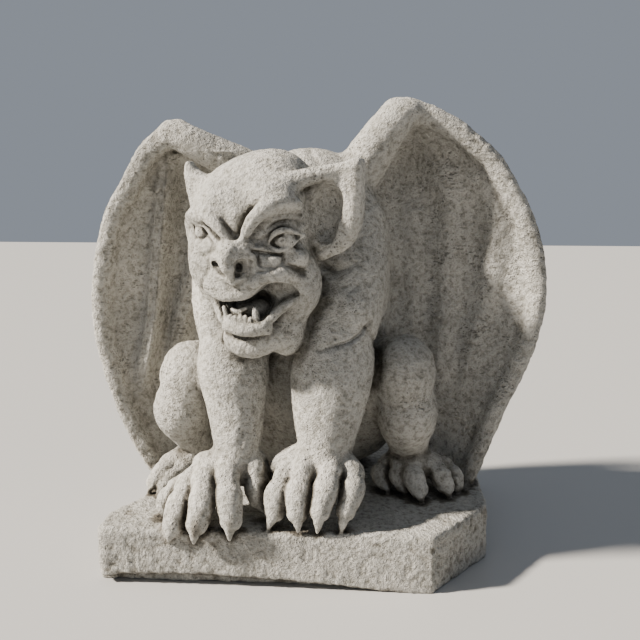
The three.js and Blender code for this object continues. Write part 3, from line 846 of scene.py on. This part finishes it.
def front_break():
    """The front edge is broken away low down, from the plain corner to where it runs out."""
    left = -PLINTH_WIDTH / 2
    shares = [(-0.1, 0.3), (0.12, 0.8), (0.32, 1.0), (0.6, 0.75), (0.82, 0.4), (1.0, 0.0)]
    along = [left + BREAK_LENGTH * s for s, _ in shares]
    heights = [BREAK_HEIGHT * h for _, h in shares]
    front = -PLINTH_DEPTH / 2
    low = np.array([left - 6, front - 6, -6.0])
    high = np.array([left + BREAK_LENGTH, front + BREAK_DEPTH, BREAK_HEIGHT])

    def distance(grid, margin):
        x, y, z = grid
        roof = np.interp(x, along, heights)
        return np.maximum(z - roof, y - (front + BREAK_DEPTH)).astype(np.float32)

    return low, high, distance


def noise(places, cell, seed):
    """Smooth noise from -1 to 1 with lumps of about the cell's size."""
    shape = (NOISE_CELLS, NOISE_CELLS, NOISE_CELLS)
    table = np.random.default_rng(seed).uniform(-1, 1, shape).astype(np.float32)
    at = places / cell + NOISE_SHIFT
    base = np.floor(at).astype(int)
    t = (at - base).astype(np.float32)
    t = t * t * (3 - 2 * t)
    total = 0
    for corner in range(8):
        steps = [(corner >> i) & 1 for i in range(3)]
        weight = 1
        for i, step in enumerate(steps):
            weight = weight * (t[:, i] if step else 1 - t[:, i])
        spots = [(base[:, i] + steps[i]) % NOISE_CELLS for i in range(3)]
        total = total + weight * table[spots[0], spots[1], spots[2]]
    return total


def model_clay():
    """The whole casting, with its finest steps about the face and the hands."""
    coarse, fine = FULL_STEPS
    clay = Clay(
        [
            [(-244, -132, coarse), (-132, 66, fine), (66, 260, coarse)],
            [(-156, -20, fine), (-20, 150, coarse)],
            [(-4.5, 40, coarse), (40, 124, fine), (124, 206, coarse), (206, 412, fine), (412, 472, coarse)],
        ]
    )
    body = [*torso(), *legs(), *feet(), *wing(RIGHT_WING), *wing(LEFT_WING), *arms(), *hands()]
    for shape, blend in body:
        clay.add(shape, blend)
    for points, width, depth in body_scores():
        clay.score(points, width, depth, head=False, back=40)
    for shape, blend in [*skull(), *ears(), *features()]:
        clay.add(shape, blend)
    for shape, blend in [*hollows(), *ear_hollows()]:
        clay.cut(shape, blend)
    for shape, blend in eyes_and_teeth():
        clay.add(shape, blend)
    for points, width, depth in scores():
        clay.score(points, width, depth)
    clay.add(plinth(), 3)
    clay.cut(front_break(), 2)
    return clay


def hollow_share(clay, places, normals):
    """How hemmed in each place is: 0 in the open, 1 at the bottom of a narrow hollow."""
    share = np.zeros(len(places), np.float32)
    for reach in HOLLOW_REACHES:
        near = np.clip((reach - clay.at(places + normals * reach)) / reach, 0, 1)
        share += near / len(HOLLOW_REACHES)
    return share


def vertex_values(values, name):
    """A property of a mesh's vertices as rows of three numbers."""
    rows = np.zeros(len(values) * 3, np.float32)
    values.foreach_get(name, rows)
    return rows.reshape(-1, 3)


def clay_mesh(name, relief, most):
    """The clay as a mesh in metres, with lumps of relief mm, in no more than most triangles.
    Its "hollow" attribute says how hemmed in each corner is."""
    clay = model_clay()
    places, triangles, quads = clay.surface()
    faces = [tuple(map(int, f)) for f in triangles] + [tuple(map(int, f)) for f in quads]
    mesh = bpy.data.meshes.new(name)
    mesh.from_pydata(places * MM, [], faces)
    mesh.validate()
    normals = vertex_values(mesh.vertex_normals, "vector")
    co = vertex_values(mesh.vertices, "co") / MM
    # Wings and plinth are rougher than the head, the arms and the legs
    on_wing = np.clip((np.abs(co[:, 0]) - WINGS_START) / WINGS_FADE, 0, 1)
    rough = 0.75 + 0.5 * on_wing + 0.35 * (co[:, 2] < PLINTH_HEIGHT)
    push = sum(share * noise(co, size, seed) for seed, (share, size) in enumerate(LUMPS, 1))
    co += normals * (push * relief * rough)[:, None]
    co[:, 2] = np.maximum(co[:, 2], 0)
    mesh.vertices.foreach_set("co", (co * MM).ravel())
    mesh.update()
    piece = bpy.data.objects.new(name, mesh)
    bpy.context.collection.objects.link(piece)
    count = sum(len(p.vertices) - 2 for p in mesh.polygons)
    if count > most:
        bpy.context.view_layer.objects.active = piece
        thin = piece.modifiers.new("Thin", "DECIMATE")
        thin.ratio = most / count
        bpy.ops.object.modifier_apply(modifier=thin.name)
    mesh = piece.data
    mesh.shade_smooth()
    kept = vertex_values(mesh.vertices, "co") / MM
    facing = vertex_values(mesh.vertex_normals, "vector")
    # How hemmed in each corner is, which the stone's colour darkens as dirt and painted shade
    hollow = mesh.attributes.new("hollow", "FLOAT", "POINT")
    hollow.data.foreach_set("value", hollow_share(clay, kept, facing))
    return piece


def linear(colour):
    """An sRGB hex colour as the linear numbers that a shader takes."""
    parts = [int(colour[i : i + 2], 16) / 255 for i in (1, 3, 5)]
    return [p / 12.92 if p <= 0.04045 else ((p + 0.055) / 1.055) ** 2.4 for p in parts] + [1]


def node(tree, kind, settings=None, links=None, **values):
    """Adds a node with its settings, its input values, and what is linked or set on its
    inputs by name or number."""
    made = tree.nodes.new(kind)
    for name, value in (settings or {}).items():
        setattr(made, name, value)
    for name, value in values.items():
        made.inputs[name.replace("_", " ")].default_value = value
    for name, source in (links or {}).items():
        if isinstance(source, bpy.types.NodeSocket):
            tree.links.new(source, made.inputs[name])
        else:
            made.inputs[name].default_value = source
    return made


def cast_stone(dirt_and_shade_colour):
    """Weathered cast stone: a pale grey cement skin full of grains and pinholes, darkened in its
    pits, with dirt and painted shade in its hollows, and paler worn edges."""
    material = bpy.data.materials.new("Cast stone")
    material.use_nodes = True
    tree = material.node_tree
    shader = tree.nodes["Principled BSDF"]
    place = node(tree, "ShaderNodeTexCoord").outputs["Object"]

    def grain(size, detail=2.0, rough=0.6, vector=place):
        """Noise with lumps of that size in metres."""
        look = {"Scale": 0.5 / size, "Detail": detail, "Roughness": rough}
        return node(tree, "ShaderNodeTexNoise", links={"Vector": vector, **look}).outputs["Fac"]

    def sums(operation, a, b):
        return node(tree, "ShaderNodeMath", {"operation": operation}, {0: a, 1: b}).outputs[0]

    def ranged(value, low, high, bottom=0.0, top=1.0):
        """The value taken from low...high to bottom...top and held there."""
        ends = {"Value": value, "From Min": low, "From Max": high, "To Min": bottom, "To Max": top}
        return node(tree, "ShaderNodeMapRange", links=ends).outputs[0]

    def mixed(kind, share, a, b):
        look = {"data_type": "RGBA", "blend_type": kind}
        return node(tree, "ShaderNodeMix", look, {0: share, 6: a, 7: b}).outputs[2]

    def ramp(source, stops):
        """A colour ramp through (place, hex colour) stops."""
        made = node(tree, "ShaderNodeValToRGB", links={"Fac": source})
        band = made.color_ramp.elements
        while len(band) < len(stops):
            band.new(0.5)
        for element, (spot, colour) in zip(band, stops):
            element.position = spot
            element.color = linear(colour)
        return made.outputs["Color"]

    def pits(cell, smallest, largest, vector=place):
        """Round pits, one to a cell of that size in metres, of radii in shares of the cell."""
        look = {"Vector": vector, "Scale": 1 / cell}
        away = node(tree, "ShaderNodeTexVoronoi", links=look).outputs["Distance"]
        reach = ranged(grain(4 * cell), 0.35, 0.65, smallest, largest)
        return ranged(sums("SUBTRACT", reach, away), 0, 0.16)

    axes = node(tree, "ShaderNodeSeparateXYZ", links={0: place}).outputs
    # 1 on the wings and on the plinth, which are rougher
    outwards = ranged(sums("ABSOLUTE", axes[0], 0.0), 0.1, 0.14)
    on_wing = sums("MULTIPLY", outwards, ranged(axes[2], 0.09, 0.14))
    on_plinth = ranged(axes[2], 0.06, 0.05)
    # Short level dashes of the trowel, up to 8 mm by 2 mm, on the wings alone
    drawn_out = {"Vector": place, "Scale": (0.3, 1.0, 1.15)}
    level = node(tree, "ShaderNodeMapping", links=drawn_out).outputs[0]
    dashes = sums("MULTIPLY", pits(SMALL_PITS, 0.0, 0.36, level), on_wing)

    lumps = grain(GRAIN_LUMP, 4.0, 0.62)
    fine = grain(FINE_GRAIN, 2.0, 0.7)
    small_pits = pits(SMALL_PITS, 0.0, 0.3)
    large_pits = pits(LARGE_PITS, -0.16, 0.2)
    holes = sums("MAXIMUM", sums("MAXIMUM", small_pits, large_pits), dashes)

    coarse = ranged(sums("MAXIMUM", on_plinth, sums("MULTIPLY", on_wing, 0.6)), 0, 1, 0.8, 1.4)
    height = sums("ADD", sums("MULTIPLY", lumps, coarse), sums("MULTIPLY", fine, 0.3))
    height = sums("SUBTRACT", height, sums("MULTIPLY", holes, 0.3))
    relief = {"Height": height, "Strength": 1.0, "Distance": RELIEF_DEPTH}
    bump = node(tree, "ShaderNodeBump", links=relief)
    tree.links.new(bump.outputs["Normal"], shader.inputs["Normal"])

    # Mottled grey, dark in the low spots of the grain and in pits, with dirt and painted shade in hollows
    tone = ramp(grain(MOTTLE, 5.0), [(0.34, "#a5a39c"), (0.5, "#b7b5ae"), (0.68, "#c7c4bc")])
    speckle = ramp(lumps, [(0.3, "#98968f"), (0.42, "#d8d7d3"), (0.56, "#ffffff")])
    tone = mixed("MULTIPLY", 0.8, tone, speckle)
    tone = mixed("MULTIPLY", 0.5, tone, ramp(fine, [(0.34, "#a5a39e"), (0.48, "#ffffff")]))
    tone = mixed("MIX", sums("MULTIPLY", holes, 0.6), tone, linear("#5a5751"))
    # Dirt and painted shade in hollows: the more hemmed in a place is, the darker it is painted, as its
    # shade would fall
    hollow = node(tree, "ShaderNodeAttribute", {"attribute_name": "hollow"}).outputs["Fac"]
    patchy = ranged(grain(PATCH, 4.0), 0.3, 0.7, 0.7, 1.3)
    dirt_and_shade = sums("MULTIPLY", ranged(hollow, 0.12, 0.6, 0.0, 0.85), patchy)
    tone = mixed("MULTIPLY", dirt_and_shade, tone, dirt_and_shade_colour)
    # Brown damp dirt low on the figure, where it meets the plinth, laid only in hemmed-in places, so partly
    # painted shade
    low_down = sums("MULTIPLY", ranged(axes[2], 0.15, 0.06), ranged(hollow, 0.05, 0.3))
    tone = mixed("MULTIPLY", sums("MULTIPLY", low_down, 0.6), tone, linear("#8e7f68"))
    point = node(tree, "ShaderNodeNewGeometry").outputs["Pointiness"]
    tone = mixed("MIX", ranged(point, 0.52, 0.58, 0.0, 0.35), tone, linear("#d2cfc7"))
    tree.links.new(tone, shader.inputs["Base Color"])
    shader.inputs["Roughness"].default_value = 0.93
    shader.inputs["IOR"].default_value = 1.5
    shader.inputs["Specular IOR Level"].default_value = 0.3
    return material


def lamp(name, kind, energy, colour, at, aim, **settings):
    """A light at a place, aimed at another, that belongs to the stage."""
    light = bpy.data.lights.new(name, kind)
    light.energy = energy
    light.color = linear(colour)[:3]
    for key, value in settings.items():
        setattr(light, key, value)
    thing = bpy.data.objects.new(name, light)
    bpy.context.collection.objects.link(thing)
    thing.location = at
    thing.rotation_euler = (Vector(aim) - Vector(at)).to_track_quat("-Z", "Y").to_euler()


class GargoyleSettings(bpy.types.PropertyGroup):
    """What can be chosen for the casting and its stage"""

    grain: bpy.props.FloatProperty(
        name="Grain",
        description="Height of the casting's lumps",
        default=0.0008,
        min=0,
        max=0.003,
        precision=4,
        subtype="DISTANCE",
        unit="LENGTH",
    )
    faces: bpy.props.IntProperty(
        name="Triangles",
        description="Most triangles of the casting",
        default=190000,
        min=20000,
        max=199000,
    )
    key_strength: bpy.props.FloatProperty(
        name="Key light",
        description="Strength of the light from the viewer's left",
        default=13.5,
        min=0,
    )
    sky_strength: bpy.props.FloatProperty(
        name="Sky",
        description="Strength of the even light from all round",
        default=0.42,
        min=0,
    )
    # Colour of the dirt and the painted shade in hemmed-in places
    dirt_and_shade: bpy.props.FloatVectorProperty(
        name="Dirt",
        description="Colour of the dirt in the hollows",
        default=linear("#6a655b"),
        size=4,
        min=0,
        max=1,
        subtype="COLOR",
    )


class GARGOYLE_OT_casting(bpy.types.Operator):
    """Models the figure and its plinth as one casting"""

    bl_idname = "gargoyle.casting"
    bl_label = "Gargoyle casting"

    def execute(self, context):
        chosen = context.scene.gargoyle
        piece = clay_mesh("gargoyle_casting", chosen.grain / MM, chosen.faces)
        if not piece.data.polygons:
            raise RuntimeError("the casting came out empty")
        piece.data.materials.append(cast_stone(list(chosen.dirt_and_shade)))
        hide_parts("gargoyle")
        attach(piece, "root")
        return {"FINISHED"}


class GARGOYLE_OT_stage(bpy.types.Operator):
    """Sets the floor, the lights and the camera"""

    bl_idname = "gargoyle.stage"
    bl_label = "Gargoyle stage"

    def execute(self, context):
        chosen = context.scene.gargoyle
        bpy.ops.mesh.primitive_plane_add(size=FLOOR_SIDE)
        floor = context.object
        floor.name = "floor"
        paper = bpy.data.materials.new("Pale floor")
        paper.use_nodes = True
        grey = linear("#b4b3b0")
        paper.node_tree.nodes["Principled BSDF"].inputs["Base Color"].default_value = grey
        floor.data.materials.append(paper)
        spread = math.radians(SUN_ANGLE)
        lamp("key", "SUN", chosen.key_strength, "#fff5e8", SUN_AT, SUN_AIM, angle=spread)
        world = bpy.data.worlds.new("sky")
        bpy.context.scene.world = world
        world.use_nodes = True
        sky = world.node_tree.nodes["Background"].inputs
        sky["Color"].default_value = linear("#cdd6e4")
        sky["Strength"].default_value = chosen.sky_strength
        camera = bpy.data.cameras.new("camera")
        camera.lens = LENS
        camera.sensor_width = SENSOR
        seen = bpy.data.objects.new("camera", camera)
        context.collection.objects.link(seen)
        seen.location = CAMERA_AT
        turn, pitch = math.radians(CAMERA_TURN), math.radians(CAMERA_PITCH)
        level = math.cos(pitch)
        aim = Vector((-math.sin(turn) * level, math.cos(turn) * level, -math.sin(pitch)))
        seen.rotation_euler = aim.to_track_quat("-Z", "Y").to_euler()
        context.scene.camera = seen
        return {"FINISHED"}


class GARGOYLE_PT_sidebar(bpy.types.Panel):
    """The gargoyle's choices and its two steps"""

    bl_idname = "GARGOYLE_PT_sidebar"
    bl_label = "Gargoyle"
    bl_space_type = "VIEW_3D"
    bl_region_type = "UI"
    bl_category = "Gargoyle"

    def draw(self, context):
        chosen = context.scene.gargoyle
        for name in ("grain", "faces", "dirt_and_shade", "key_strength", "sky_strength"):
            self.layout.prop(chosen, name)
        for step in (GARGOYLE_OT_casting, GARGOYLE_OT_stage):
            self.layout.operator(step.bl_idname)


CLASSES = (GargoyleSettings, GARGOYLE_OT_casting, GARGOYLE_OT_stage, GARGOYLE_PT_sidebar)


def register():
    for one in CLASSES:
        bpy.utils.register_class(one)
    bpy.types.Scene.gargoyle = bpy.props.PointerProperty(type=GargoyleSettings)


def unregister():
    del bpy.types.Scene.gargoyle
    for one in reversed(CLASSES):
        bpy.utils.unregister_class(one)


def main():
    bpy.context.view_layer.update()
    register()
    for step in (bpy.ops.gargoyle.casting, bpy.ops.gargoyle.stage):
        if step() != {"FINISHED"}:
            raise RuntimeError("a step didn't finish")


if __name__ == "__main__":
    main()
